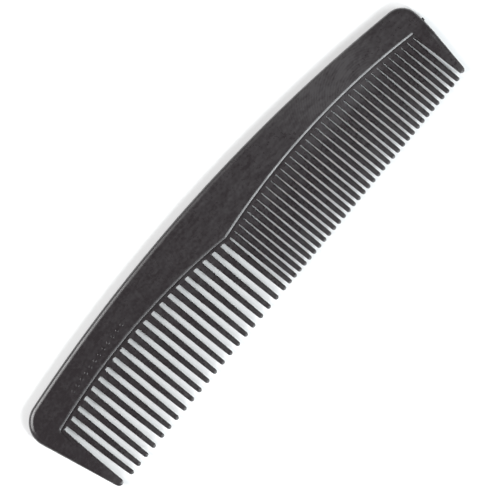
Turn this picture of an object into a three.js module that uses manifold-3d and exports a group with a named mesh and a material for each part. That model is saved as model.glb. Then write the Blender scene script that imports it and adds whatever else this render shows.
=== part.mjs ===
// Dressing comb with coarse teeth on one half and fine teeth on the other.
//
// The comb is a single moulding. It is modelled as the features a person would name: the spine,
// the two end guards and every tooth, each a closed solid that meets the spine face to face.
//
// Millimetres. The comb lies flat: +X runs from the coarse end to the fine end, +Y points from
// the tooth tips to the back, and +Z is up through the thickness. The origin is the centre of
// the footprint, on the surface that the comb lies on. Top and bottom are alike.
import * as THREE from "three";
import Module from "manifold-3d";
import { mergeVertices } from "three/addons/utils/BufferGeometryUtils.js";

// Overall size.
const LENGTH = 127;
const WIDTH = 28.77;
const SPINE_THICKNESS = 3.2;
const MID_Z = SPINE_THICKNESS / 2;

// The back is one long arc, whose crest is nearer the coarse end.
const BACK_ARC = { x: -15.46, radius: 391, crest: WIDTH / 2 };

// Each field of teeth grows from its own scallop in the spine.
const COARSE_SCALLOP = { x: -33.06, radius: 167.5, crest: 6.285 };
const FINE_SCALLOP = { x: 19.65, radius: 181, crest: 4.57 };

// The raised spine steps down to a thinner web along the scallops, and the teeth start there.
const WEB_THICKNESS = 2.2;
const WEB_REACH = 0.98;
const WEB_OVERLAP = 2;
const HOOK_RADIUS = 0.9;

// Bevels of the raised spine: how far in they reach, and how far down.
const RIM_BEVEL = 0.7;
const SHOULDER_BEVEL = 0.45;
const BEVEL_DEPTH = 0.55;

// An end of the comb: a rounded corner, then a side that leans inwards towards the tooth tips.
const COARSE_END = {
  side: -1,
  cornerRadius: 5.8,
  blendRadius: 5.8,
  lean: THREE.MathUtils.degToRad(11),
  guardRoot: 3.5,
  guardInner: [57.7, 57.92],
  scallop: COARSE_SCALLOP,
};
const FINE_END = {
  side: 1,
  cornerRadius: 4.45,
  blendRadius: 33,
  lean: THREE.MathUtils.degToRad(10.6),
  guardRoot: -0.7,
  guardInner: [59.0, 59.45],
  scallop: FINE_SCALLOP,
};
const GUARD_TIP_Y = -14.16;
const GUARD_TIP_THICKNESS = 1.4;
const GUARD_STRIP = 1;

// The two fields of teeth. Widths are across a tooth, at its root and where its tip begins.
const COARSE_TEETH = { count: 21, first: -55.85, pitch: 2.677, rootWidth: 1.54, tipWidth: 1.16 };
const FINE_TEETH = { count: 35, first: -0.34, pitch: 1.717, rootWidth: 1.46, tipWidth: 1.08 };
const TOOTH_TIP_Y = -WIDTH / 2;
const TOOTH_ROOT_THICKNESS = 2.1;
const TOOTH_TIP_THICKNESS = 1.2;
const TOOTH_BEVEL = 0.3;

// How finely arcs are cut, and the angles at which a rounded tip is sliced.
const ARC_STEPS = 24;
const CORNER_STEPS = 8;
const HOOK_STEPS = 3;
const TIP_ANGLES = [0, 35, 65].map(THREE.MathUtils.degToRad);
const TIP_NOSE = 0.5;

const wasm = await Module();
wasm.setup();

// ---- Plan geometry -------------------------------------------------------------------------

// Height of an arc above the X axis at x.
function arcY(arc, x) {
  return arc.crest - arc.radius + Math.sqrt(arc.radius ** 2 - (x - arc.x) ** 2);
}

function shoulderY(x) {
  return Math.max(arcY(COARSE_SCALLOP, x), arcY(FINE_SCALLOP, x));
}

function rootY(x) {
  return shoulderY(x) - WEB_REACH;
}

// Centre of the corner that touches both the back and the end's extreme.
function cornerCentre(end) {
  const x = end.side * (LENGTH / 2 - end.cornerRadius);
  const reach = BACK_ARC.radius - end.cornerRadius;
  const y = BACK_ARC.crest - BACK_ARC.radius + Math.sqrt(reach ** 2 - (x - BACK_ARC.x) ** 2);
  return { x, y };
}

// X of an end's outer side at height y, below the corner.
function sideX(end, y) {
  const drop = cornerCentre(end).y - y;
  const blendDrop = end.blendRadius * Math.sin(end.lean);
  const turned = Math.min(drop, blendDrop);
  const bend = end.blendRadius - Math.sqrt(end.blendRadius ** 2 - turned ** 2);
  const slope = Math.tan(end.lean) * Math.max(0, drop - blendDrop);
  return end.side * (LENGTH / 2 - bend - slope);
}

function steps(count) {
  return Array.from({ length: count + 1 }, (_, i) => i / count);
}

// Outer outline of one end, from the guard's root up round the corner to the back.
function endOutline(end) {
  const centre = cornerCentre(end);
  const backAngle = Math.atan2(
    centre.y - BACK_ARC.crest + BACK_ARC.radius,
    end.side * (centre.x - BACK_ARC.x),
  );
  const side = steps(CORNER_STEPS / 2).slice(0, -1).map((t) => {
    const y = THREE.MathUtils.lerp(end.guardRoot, centre.y, t);
    return { x: sideX(end, y), y, bevel: RIM_BEVEL };
  });
  const corner = steps(CORNER_STEPS).map((t) => ({
    x: centre.x + end.side * end.cornerRadius * Math.cos(t * backAngle),
    y: centre.y + end.cornerRadius * Math.sin(t * backAngle),
    bevel: RIM_BEVEL,
  }));
  return [...side, ...corner];
}

// The shoulder turns down into the guard round a small hook.
function hookOutline(end) {
  const shoulderEnd = end.guardInner[0] + GUARD_STRIP;
  const x = end.side * (shoulderEnd - HOOK_RADIUS);
  const y = shoulderY(x) - HOOK_RADIUS;
  return steps(HOOK_STEPS).map((t) => ({
    x: x + end.side * HOOK_RADIUS * Math.cos((t * Math.PI) / 2),
    y: Math.max(end.guardRoot, y + HOOK_RADIUS * Math.sin((t * Math.PI) / 2)),
    bevel: SHOULDER_BEVEL,
  }));
}

// Outline of the raised spine, anticlockwise from above. An edge's bevel is that of its start.
function raisedOutline() {
  const fineSide = endOutline(FINE_END);
  const coarseSide = endOutline(COARSE_END).reverse();
  const backStart = fineSide.at(-1).x;
  const backEnd = coarseSide[0].x;
  const back = steps(ARC_STEPS).slice(1, -1).map((t) => {
    const x = THREE.MathUtils.lerp(backStart, backEnd, t);
    return { x, y: arcY(BACK_ARC, x), bevel: RIM_BEVEL };
  });
  const coarseHook = hookOutline(COARSE_END);
  const fineHook = hookOutline(FINE_END).reverse();
  const shoulder = steps(2 * ARC_STEPS).slice(1, -1).map((t) => {
    const x = THREE.MathUtils.lerp(coarseHook.at(-1).x, fineHook[0].x, t);
    return { x, y: shoulderY(x), bevel: SHOULDER_BEVEL };
  });
  coarseSide.at(-1).bevel = 0;
  fineHook.at(-1).bevel = 0;
  return [...fineSide, ...back, ...coarseSide, ...coarseHook, ...shoulder, ...fineHook];
}

// Centre lines of a field of teeth.
function toothCentres(field) {
  return Array.from({ length: field.count }, (_, i) => field.first + i * field.pitch);
}

// Outline of the web, with a straight land under every tooth, anticlockwise from above.
function webOutline() {
  const lands = [COARSE_TEETH, FINE_TEETH].flatMap((field) =>
    toothCentres(field).flatMap((x) => [
      [x - field.rootWidth / 2, rootY(x)],
      [x + field.rootWidth / 2, rootY(x)],
    ]),
  );
  const left = -COARSE_END.guardInner[0];
  const right = FINE_END.guardInner[0];
  const top = steps(ARC_STEPS).map((t) => {
    const x = THREE.MathUtils.lerp(right + GUARD_STRIP, left - GUARD_STRIP, t);
    return [x, shoulderY(x) + WEB_OVERLAP];
  });
  const rootOfCoarseGuard = [
    [left - 2 * GUARD_STRIP, COARSE_END.guardRoot],
    [left, COARSE_END.guardRoot],
  ];
  const rootOfFineGuard = [
    [right, FINE_END.guardRoot],
    [right + 2 * GUARD_STRIP, FINE_END.guardRoot],
  ];
  return [...rootOfCoarseGuard, ...lands, ...rootOfFineGuard, ...top].map(([x, y]) => ({ x, y }));
}

// ---- Solids --------------------------------------------------------------------------------

// Moves each edge of an anticlockwise outline inwards by its own bevel.
function inset(outline) {
  return outline.map((point, i) => {
    const before = outline.at(i - 1);
    const after = outline[(i + 1) % outline.length];
    const inwardsIn = new THREE.Vector2(before.y - point.y, point.x - before.x).normalize();
    const inwardsOut = new THREE.Vector2(point.y - after.y, after.x - point.x).normalize();
    const turn = inwardsIn.cross(inwardsOut);
    if (Math.abs(turn) < 0.01) {
      const shift = inwardsOut.multiplyScalar(point.bevel);
      return { x: point.x + shift.x, y: point.y + shift.y };
    }
    return {
      x: point.x + (before.bevel * inwardsOut.y - point.bevel * inwardsIn.y) / turn,
      y: point.y + (point.bevel * inwardsIn.x - before.bevel * inwardsOut.x) / turn,
    };
  });
}

// Skins rings of equal length. A ring runs anticlockwise as seen from the end of the stack.
function skin(rings, capTriangles) {
  const count = rings[0].length;
  const triangles = [];
  for (let level = 0; level + 1 < rings.length; level++) {
    for (let i = 0; i < count; i++) {
      const next = (i + 1) % count;
      const low = level * count;
      const high = low + count;
      triangles.push([low + i, low + next, high + next], [low + i, high + next, high + i]);
    }
  }
  const last = (rings.length - 1) * count;
  for (const [a, b, c] of capTriangles) {
    triangles.push([c, b, a], [last + a, last + b, last + c]);
  }
  const geometry = new THREE.BufferGeometry();
  geometry.setAttribute("position", new THREE.Float32BufferAttribute(rings.flat(2), 3));
  geometry.setIndex(triangles.flat());
  return geometry;
}

// Stacks plan outlines at their heights above the table.
function stackOutlines(levels) {
  const plan = levels[0].outline.map(({ x, y }) => new THREE.Vector2(x, y));
  const rings = levels.map(({ z, outline }) => outline.map(({ x, y }) => [x, y, z]));
  return skin(rings, THREE.ShapeUtils.triangulateShape(plan, []));
}

// A bar that runs towards -Y through bevelled rectangular sections.
function bar(stations) {
  const rings = stations.map((s) => {
    const flat = s.half - s.bevelDepth;
    const section = [
      [s.high, -flat],
      [s.high, flat],
      [s.high - s.bevelHigh, s.half],
      [s.low + s.bevelLow, s.half],
      [s.low, flat],
      [s.low, -flat],
      [s.low + s.bevelLow, -s.half],
      [s.high - s.bevelHigh, -s.half],
    ];
    return section.map(([x, z]) => [x, s.y, MID_Z + z]);
  });
  const fan = Array.from({ length: rings[0].length - 2 }, (_, i) => [0, i + 1, i + 2]);
  return skin(rings, fan);
}

function toManifold(geometry) {
  const merged = mergeVertices(geometry, 1e-4);
  return new wasm.Manifold(
    new wasm.Mesh({
      numProp: 3,
      vertProperties: merged.attributes.position.array,
      triVerts: new Uint32Array(merged.index.array),
    }),
  );
}

function fromManifold(solid) {
  const mesh = solid.getMesh();
  const geometry = new THREE.BufferGeometry();
  geometry.setAttribute("position", new THREE.BufferAttribute(mesh.vertProperties, 3));
  geometry.setIndex(new THREE.BufferAttribute(mesh.triVerts, 1));
  return geometry;
}

// ---- Sub-parts -----------------------------------------------------------------------------

function spineGeometry() {
  const full = raisedOutline();
  const narrow = inset(full);
  const raised = stackOutlines([
    { z: 0, outline: narrow },
    { z: BEVEL_DEPTH, outline: full },
    { z: SPINE_THICKNESS - BEVEL_DEPTH, outline: full },
    { z: SPINE_THICKNESS, outline: narrow },
  ]);
  const outline = webOutline();
  const web = stackOutlines([
    { z: MID_Z - WEB_THICKNESS / 2, outline },
    { z: MID_Z + WEB_THICKNESS / 2, outline },
  ]);
  return fromManifold(toManifold(raised).add(toManifold(web)));
}

// The last slices of a bar, rounded in plan about a centre and thinned towards the nose.
function roundedTip(centreX, tipY, radius, station) {
  return TIP_ANGLES.map((angle) => {
    const shrink = Math.cos(angle);
    const thinning = TIP_NOSE + (1 - TIP_NOSE) * shrink;
    return {
      y: tipY + radius - radius * Math.sin(angle),
      low: centreX - radius * shrink,
      high: centreX + radius * shrink,
      half: station.half * thinning,
      bevelLow: station.bevelLow * shrink,
      bevelHigh: station.bevelHigh * shrink,
      bevelDepth: station.bevelDepth * thinning,
    };
  }).concat({
    y: tipY,
    low: centreX - 0.3 * radius,
    high: centreX + 0.3 * radius,
    half: station.half * TIP_NOSE,
    bevelLow: 0.2 * station.bevelLow,
    bevelHigh: 0.2 * station.bevelHigh,
    bevelDepth: station.bevelDepth * TIP_NOSE,
  });
}

function toothGeometry(field, x) {
  const bevel = { bevelLow: TOOTH_BEVEL, bevelHigh: TOOTH_BEVEL, bevelDepth: TOOTH_BEVEL };
  const root = {
    y: rootY(x),
    low: x - field.rootWidth / 2,
    high: x + field.rootWidth / 2,
    half: TOOTH_ROOT_THICKNESS / 2,
    ...bevel,
  };
  const tip = { half: TOOTH_TIP_THICKNESS / 2, ...bevel };
  return bar([root, ...roundedTip(x, TOOTH_TIP_Y, field.tipWidth / 2, tip)]);
}

function guardStation(end, y, inner, half) {
  const outer = Math.abs(sideX(end, y));
  const fade = half / MID_Z;
  const rim = RIM_BEVEL * fade;
  const strip = GUARD_STRIP * fade;
  return {
    y,
    low: end.side < 0 ? -outer : inner,
    high: end.side < 0 ? -inner : outer,
    half,
    bevelLow: end.side < 0 ? rim : strip,
    bevelHigh: end.side < 0 ? strip : rim,
    bevelDepth: BEVEL_DEPTH * fade,
  };
}

function guardGeometry(end) {
  const [rootInner, tipInner] = end.guardInner;
  const tipRadius = (Math.abs(sideX(end, GUARD_TIP_Y)) - tipInner) / 2;
  const tipStart = GUARD_TIP_Y + tipRadius;
  const tipCentre = end.side * (tipInner + tipRadius);
  const bodySteps = steps(4).slice(0, -1).map((t) => {
    const y = THREE.MathUtils.lerp(end.guardRoot, tipStart, t);
    const inner = THREE.MathUtils.lerp(rootInner, tipInner, t);
    return guardStation(end, y, inner, THREE.MathUtils.lerp(MID_Z, GUARD_TIP_THICKNESS / 2, t));
  });
  const tip = guardStation(end, tipStart, tipInner, GUARD_TIP_THICKNESS / 2);
  return bar([...bodySteps, ...roundedTip(tipCentre, GUARD_TIP_Y, tipRadius, tip)]);
}

// ---- The comb ------------------------------------------------------------------------------

const blackPlastic = { color: 0x2e2b2c, roughness: 0.5, metalness: 0 };
const group = new THREE.Group();

function addPart(name, geometry) {
  const mesh = new THREE.Mesh(geometry, new THREE.MeshStandardMaterial(blackPlastic));
  mesh.name = name;
  group.add(mesh);
}

function addTeeth(prefix, field) {
  toothCentres(field).forEach((x, i) => {
    addPart(`${prefix}_${String(i + 1).padStart(2, "0")}`, toothGeometry(field, x));
  });
}

addPart("spine", spineGeometry());
addPart("coarse_end_guard", guardGeometry(COARSE_END));
addTeeth("coarse_tooth", COARSE_TEETH);
addTeeth("fine_tooth", FINE_TEETH);
addPart("fine_end_guard", guardGeometry(FINE_END));

export default group;
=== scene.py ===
"""Looks of a moulded dressing comb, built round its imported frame. Metres, +Z up."""

import math

import bmesh
import bpy
from bpy.props import FloatProperty, FloatVectorProperty, IntProperty, PointerProperty
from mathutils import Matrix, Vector


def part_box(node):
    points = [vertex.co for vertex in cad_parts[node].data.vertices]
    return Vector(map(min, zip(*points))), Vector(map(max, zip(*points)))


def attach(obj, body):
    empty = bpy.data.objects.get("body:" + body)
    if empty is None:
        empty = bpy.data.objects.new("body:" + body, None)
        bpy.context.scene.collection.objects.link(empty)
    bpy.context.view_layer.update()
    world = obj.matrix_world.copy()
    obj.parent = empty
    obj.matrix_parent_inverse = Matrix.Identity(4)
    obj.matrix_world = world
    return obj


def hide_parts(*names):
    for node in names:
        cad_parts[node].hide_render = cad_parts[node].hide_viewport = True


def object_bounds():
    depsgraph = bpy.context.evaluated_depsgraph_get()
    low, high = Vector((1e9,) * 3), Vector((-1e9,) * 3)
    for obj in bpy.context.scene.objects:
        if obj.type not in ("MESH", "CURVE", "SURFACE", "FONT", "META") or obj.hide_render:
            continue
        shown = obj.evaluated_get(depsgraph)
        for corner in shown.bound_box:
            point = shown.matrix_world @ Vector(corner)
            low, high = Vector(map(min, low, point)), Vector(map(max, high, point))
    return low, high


bl_info = {
    "name": "Dressing comb",
    "version": (1, 0, 0),
    "blender": (4, 5, 0),
    "location": "3D View > Sidebar > Comb",
    "description": "Builds a moulded dressing comb with coarse and fine teeth",
    "category": "Add Mesh",
}

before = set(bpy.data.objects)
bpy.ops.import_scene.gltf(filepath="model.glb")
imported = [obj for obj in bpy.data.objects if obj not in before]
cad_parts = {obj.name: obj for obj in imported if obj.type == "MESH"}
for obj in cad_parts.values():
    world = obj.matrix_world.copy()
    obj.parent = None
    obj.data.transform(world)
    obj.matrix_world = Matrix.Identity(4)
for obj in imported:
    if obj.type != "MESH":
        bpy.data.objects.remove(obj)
CAD_LOW, CAD_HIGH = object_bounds()

MM = 0.001
BODY = "root"

# Counts of segments.
BACK_STEPS = 96
CORNER_STEPS = 20
SIDE_STEPS = 6
SHOULDER_STEPS = 60
HOOK_STEPS = 8
VALLEY_STEPS = 6
VALLEY_HALVINGS = 40
PROFILE_STEPS = 15
GUARD_STEPS = 22
NOSE_STEPS = 8
EDGE_STEPS = 4
SIDE_ROWS = 7
FILLET_STEPS = 4
TIP_ROWS = 6
ROUND_STEPS = 3

# Joining and shading of meshes.
MERGE = 0.001 * MM
SEAM = 0.02 * MM
SHARP_DEGREES = 40

# The shoulder's bevel: its foot, its curve, and its share outside the shoulder line.
FACE_MARGIN = 0.15 * MM
FOOT_WIDTH = 0.05 * MM
BEVEL_EASE = 1.3
BEVEL_OUT = 0.37

# The rim: a steep curve up to its knee, a soft one on to the face, and the parting line's half
# height, which spreads a little where the line doesn't stand out.
RIM_KNEE = 0.37 * MM
RIM_DROP = 0.3 * MM
RIM_STEEPNESS = 3.0
RIM_EASE = 1.35
RIM_KNEE_SHARE = 0.4
PARTING_HALF = 0.05 * MM
PARTING_SPREAD = 0.2

# Guards: the end tucked into the spine, the straight part, the nose, and shares of a section.
TUCK_SHRINK = 0.55
TUCK_RISE = 0.3 * MM
GUARD_STRAIGHT = 0.955
DRAFT_EASE = 0.6
GUARD_TAPER = 0.35
GUARD_EDGE = 0.25 * MM
NOSE_END = 0.12
NOSE_FLAT = 0.45
RIM_SHARE = 0.45
LAND_SHARE = 0.25
STRIP_SHARE = 0.3
STRIP_RISE = 0.005 * MM
EDGE_SHARE = 0.2

# Tooth cells: rows in the web, where the middle lies beside each row, the crown and the tip.
WEB_ROWS = (2.2 * MM, 1.5 * MM, 0.9 * MM, 0.45 * MM)
WEB_TUCK = 1.2 * MM
ROOT_MIDDLE = 0.6
FILLET_MIDDLE = (0.5, -1.5)
SIDE_MIDDLE = 0.5
CELL_HALF = 0.499
CROWN_COLUMNS = (0.4, 0.75, 1.0)
CROWN_START = 1.4 * MM
TIP_LENGTH = 0.85
TIP_REACH = 0.12 * MM
TIP_EDGE = 0.9
TIP_EDGE_SHARE = 0.5
TIP_GAP = 0.05 * MM

# How much of a bend the next tooth keeps.
KINK_FALL = 0.58
END_BEND_FALL = 0.4

# Gate stub, with its waves round the outline, and pips.
STUB_STEPS = 4
STUB_SIDES = 10
STUB_ROOT = 0.3 * MM
STUB_TAPER = 0.75
STUB_HALF_HEIGHT = 0.45 * MM
STUB_ROUGH = 0.12
STUB_LOBES = 3
STUB_TWIST = 2
STUB_TEAR = 0.06 * MM
STUB_TEAR_LOBES = 2
PIP_RINGS = 3
PIP_SIDES = 12
PIP_DOME_DEGREES = 80
PIP_SHARP_DEGREES = 60

# What sets each field of teeth apart from the usual sizes, in millimetres.
COARSE_TEETH = {"tip_half": 0.58, "fillet": 0.22, "end_bend": 0.42, "kink": 0.24}
FINE_TEETH = {"tip_half": 0.54, "fillet": 0.12}

# Where each lightening of the plastic comes and goes: (none, full) in millimetres along or across the comb.
# Painted light: the plastic is made lighter along the comb towards the fine end, the side the light falls
# from.
PAINTED_LIGHT_ALONG = (-70, 40)
HANDLED_START = (20, 36)
HANDLED_STOP = (56, 44)
# From here on the painted light and the smear are taken off the teeth.
TEETH_START = (2, -2)
# Painted sheen: the teeth are made lighter down towards their tips.
TIPS_START = (-5, -15)
RIDGE_CENTRE = (44, -3, 0)

# How strong each part of the lightening is: painted light along the comb, the handled smear, how much of
# both the teeth lose, painted sheen at the tips, an even dulling, then swirls, mottle and ridges.
PAINTED_LIGHT_STRENGTH = 0.3
HANDLED_HAZE = 0.42
TEETH_SPARED = 0.8
TIP_PAINTED_SHEEN = 0.5
FILM_BASE = 0.05
SWIRL_BASE = 0.3
SWIRL_FILM = 2.2
MOTTLE_FILM = 0.9
RIDGE_MEAN = 0.4
RIDGE_FILM = 0.35

# Noises of the skin: features per millimetre, detail, stretch, turn in radians, and shift.
NOISE_MEAN = 0.5
NOISES = {
    "waves": {"scale": 0.11, "detail": 1.5},
    "grain": {"scale": 5.0, "detail": 3.0},
    "cloud": {"scale": 0.35, "detail": 3.0, "shift": (7, 3, 0)},
    "hairlines": {"scale": 3.2, "stretch": (0.12, 2.4, 1), "turn": 0.35},
    "crossing": {"scale": 2.6, "stretch": (0.1, 2.2, 1), "turn": -0.9, "shift": (4, 9, 0)},
    "patches": {"scale": 0.2, "detail": 1.0, "shift": (2, 5, 0)},
    "specks": {"scale": 4.2, "detail": 1.0, "shift": (11, 2, 5)},
    "swirl": {"scale": 0.8, "detail": 4.0, "stretch": (0.45, 1.3, 1), "turn": 0.5, "shift": (5, 1, 0)},
    "mottle": {"scale": 1.5, "detail": 3.0, "shift": (3, 3, 3)},
}
RIDGES = {"Scale": 0.55, "Distortion": 5.0, "Detail": 2.0, "Detail Scale": 0.3}

# (none, full) of each noise that marks the skin, and what the marks do.
HAIRLINE_RAMP = (0.70, 0.78)
CROSSING_RAMP = (0.71, 0.79)
PATCH_RAMP = (0.48, 0.66)
SPECK_RAMP = (0.79, 0.83)
SPECK_CLOUD_RAMP = (0.45, 0.6)
SCRATCH_DUST = 0.1
SPECK_DUST = 0.5
CLOUD_ROUGHNESS = 0.16
LIGHTENING_ROUGHNESS = 0.05
MOTTLE_ROUGHNESS = 0.12
SPECK_ROUGHNESS = 0.2
SCRATCH_DEPTH = 0.4

# Stage. Azimuths are angles in the camera's view: 0 at its right, 90 at its top.
VIEW_CENTRE = (-0.545 * MM, -2.763 * MM, 1.6 * MM)
# Each softbox: name, azimuth and elevation in degrees, width and height in metres, share of radiance.
SOFTBOX_DISTANCE = 0.7
SOFTBOXES = (
    ("key_softbox", -40, 37, 0.15, 0.5, "key", 1.0),
    ("corner_softbox", 2, 42, 0.38, 0.08, "key", 0.95),
    ("side_softbox", 174, 40, 0.56, 0.18, "side", 1.0),
)
FLOOR_HALF = 2.0
SENSOR_WIDTH = 36
WHITE = (1, 1, 1)

# ---- What the frame says ---------------------------------------------------------------------

HALF_LENGTH = (CAD_HIGH.x - CAD_LOW.x) / 2
BACK_CREST = CAD_HIGH.y
MID_Z = (CAD_LOW.z + CAD_HIGH.z) / 2
FACE = CAD_HIGH.z - MID_Z


def boxes(prefix):
    """Boxes of the nodes whose names start with prefix, in order along the comb."""
    names = sorted(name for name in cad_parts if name.startswith(prefix))
    return [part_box(name) for name in names]


def arc_through(points):
    """(x, crest, radius) of the arc that bulges towards +Y through three points."""
    (ax, ay), (bx, by), (cx, cy) = points
    d = 2 * (ax * (by - cy) + bx * (cy - ay) + cx * (ay - by))
    a, b, c = ax * ax + ay * ay, bx * bx + by * by, cx * cx + cy * cy
    x = (a * (by - cy) + b * (cy - ay) + c * (ay - by)) / d
    y = (a * (cx - bx) + b * (ax - cx) + c * (bx - ax)) / d
    radius = math.hypot(ax - x, ay - y)
    return x, y + radius, radius


class ToothField:
    """One field of equal teeth, read from its CAD nodes."""

    def __init__(self, prefix):
        found = boxes(prefix)
        self.nodes = sorted(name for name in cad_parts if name.startswith(prefix))
        self.count = len(found)
        self.centres = [(low.x + high.x) / 2 for low, high in found]
        self.pitch = (self.centres[-1] - self.centres[0]) / (self.count - 1)
        self.root_half = (found[0][1].x - found[0][0].x) / 2
        self.tip_y = found[0][0].y
        middle = self.count // 2
        self.arc = arc_through([(self.centres[i], found[i][1].y) for i in (0, middle, -1)])

    def shoulder(self, sizes):
        """The arc of the shoulder's foot, one web's reach outside the arc of the gaps' roots."""
        x, crest, radius = self.arc
        return Turn(x, crest + sizes.web_reach - radius, radius)


COARSE = ToothField("coarse_tooth")
FINE = ToothField("fine_tooth")
FIELD_JOIN = (
    COARSE.centres[-1] + COARSE.root_half + FINE.centres[0] - FINE.root_half
) / 2


# ---- The user's sizes and colours ------------------------------------------------------------


def length(name, description, millimetres):
    return FloatProperty(
        name=name, description=description, default=millimetres * MM, min=0, unit="LENGTH", precision=5
    )


def position(name, description, millimetres):
    return FloatProperty(name=name, description=description, default=millimetres * MM, unit="LENGTH")


def share(name, description, value):
    return FloatProperty(name=name, description=description, default=value, min=0, max=1, subtype="FACTOR")


def colour(name, description, value):
    return FloatVectorProperty(
        name=name, description=description, default=value, min=0, max=1, size=3, subtype="COLOR"
    )


def angle(name, description, degrees):
    return FloatProperty(name=name, description=description, default=math.radians(degrees), subtype="ANGLE")


class CombSpineSizes(bpy.types.PropertyGroup):
    """Sizes of the spine and the end guards."""

    back_radius: length("Back radius", "Radius of the back's long arc", 391)
    back_crest_x: position("Crest", "Place of the back's crest along the comb", -15.46)
    coarse_corner: length("Coarse corner", "Corner radius at the coarse end", 5.8)
    fine_corner: length("Fine corner", "Corner radius at the fine end", 4.45)
    fine_blend: length("Fine blend", "Radius between the fine corner and its leaning side", 33)
    coarse_lean: angle("Coarse lean", "Lean of the coarse end's side", 11)
    fine_lean: angle("Fine lean", "Lean of the fine end's side", 10.6)
    rim: length("Rim", "Width of the rounded outer rim", 1.15)
    land: length("Land", "Half height of the flat that carries the parting line", 0.22)
    parting: length("Parting line", "How far the parting line stands out", 0.03)
    web_reach: length("Web reach", "Depth of the web between the shoulder and the gaps", 0.98)
    web: length("Web", "Half thickness of the web", 1.1)
    coarse_bevel: length("Coarse bevel", "Width of the coarse shoulder's bevel", 0.6)
    coarse_drop: length("Coarse drop", "Height of the coarse shoulder's bevel", 0.145)
    fine_bevel: length("Fine bevel", "Width of the fine shoulder's bevel", 0.54)
    fine_drop: length("Fine drop", "Height of the fine shoulder's bevel", 0.175)
    coarse_hook: length("Coarse hook", "Radius of the shoulder's turn into the coarse guard", 1.2)
    fine_hook: length("Fine hook", "Radius of the shoulder's turn into the fine guard", 0.5)
    valley: length("Valley", "Rounding where the two shoulders meet", 1.8)
    coarse_strip: length("Coarse strip", "Width of the low strip inside the coarse guard", 1.15)
    fine_strip: length("Fine strip", "Width of the low strip inside the fine guard", 0.85)
    coarse_fade: length("Coarse fade", "Length over which the coarse strip rises to the face", 5.5)
    fine_fade: length("Fine fade", "Length over which the fine strip rises to the face", 6.5)
    coarse_draft: length("Coarse draft", "How far the coarse guard's inner side leans", 0.3)
    fine_draft: length("Fine draft", "How far the fine guard's inner side leans", 0.55)
    guard_tip: length("Guard tip", "Half thickness of a guard at its tip", 0.7)


class CombToothSizes(bpy.types.PropertyGroup):
    """Sizes of one field of teeth."""

    tip_half: length("Tip half width", "Half width of a tooth where its tip begins", 0.56)
    tip_thickness: length("Tip thickness", "Half thickness of a tooth where its tip begins", 0.66)
    tip_slope: length("Tip slope", "Length over which the tip slopes down", 1.1)
    tip_drop: length("Tip drop", "Drop of the tip over its slope", 0.26)
    fillet: length("Root fillet", "Radius in the corners of a gap's root", 0.2)
    edge: length("Edge radius", "Radius along the tooth's edges", 0.38)
    root_edge: length("Root edge", "Radius along the edges of the web", 0.06)
    crown: length("Crown", "Rise of the tooth's rounded top", 0.14)
    bend: length("Bend", "Spread of the tips' sideways bends", 0.04)
    drift: length("Drift", "Bend that all the teeth share", 0.04)
    end_bend: length("End bend", "Bend of the first tooth's tip", 0)
    kink: length("Kink", "Bend of the tooth where the second run of bends starts", 0)
    kink_tooth: IntProperty(name="Kink tooth", description="Number of that tooth, from 0", default=4)
    seed: IntProperty(name="Seed", description="Seed of the bends", default=3)


class CombPlasticLook(bpy.types.PropertyGroup):
    """Finish of the moulded plastic."""

    base: colour("Colour", "Colour of the plastic", (0.0138, 0.0104, 0.0119))
    # This lighter colour is also what paints light towards the fine end and a sheen towards the tips.
    film_and_painted_light: colour("Film", "Colour where the skin is dulled by handling", (0.041, 0.0375, 0.039))
    dust: colour("Dust", "Colour of dust and rubbed spots", (0.16, 0.15, 0.145))
    roughness: share("Roughness", "Roughness of the matt skin", 0.28)
    grain: length("Grain", "Depth of the fine grain", 0.0008)
    waviness: length("Waviness", "Depth of the moulding's slow waves", 0.02)


class CombDetailSizes(bpy.types.PropertyGroup):
    """Sizes of the gate stub and the row of pips."""

    stub_width: length("Stub width", "Width of the gate stub", 1.0)
    stub_reach: length("Stub reach", "How far the gate stub stands out", 0.32)
    stub_y: length("Stub place", "Place of the gate stub across the comb", 0.25)
    pip_count: IntProperty(name="Pips", description="Number of pips in the row", default=12, min=1)
    pip_pitch: length("Pip pitch", "Distance between two pips", 1.66)
    pip_radius: length("Pip radius", "Radius of one pip", 0.42)
    pip_height: length("Pip height", "Height of one pip", 0.07)
    pip_inset: length("Pip inset", "Distance of the row from the back's edge", 5.4)
    pip_start: position("Pip start", "Place of the first pip along the comb", -49.8)


class CombStageLook(bpy.types.PropertyGroup):
    """Camera, lights and floor."""

    view_width: length("View width", "Width that the camera sees at the comb", 111.2)
    camera_height: length("Camera height", "Height of the camera above the comb", 1300)
    turn: angle("Turn", "How far the comb is turned in the view", 50.4)
    floor: colour("Floor", "Colour of the floor", (0.86, 0.86, 0.86))
    tint: colour("Key colour", "Colour of the main softbox's light", (0.935, 0.98, 1.0))
    key: FloatProperty(name="Key", description="Radiance of the main softbox", default=22.0, min=0)
    side: FloatProperty(name="Side", description="Radiance of the second softbox", default=16.5, min=0)
    sky: FloatProperty(name="Sky", description="Strength of the surroundings", default=0.28, min=0)


# ---- Node trees ------------------------------------------------------------------------------


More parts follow.
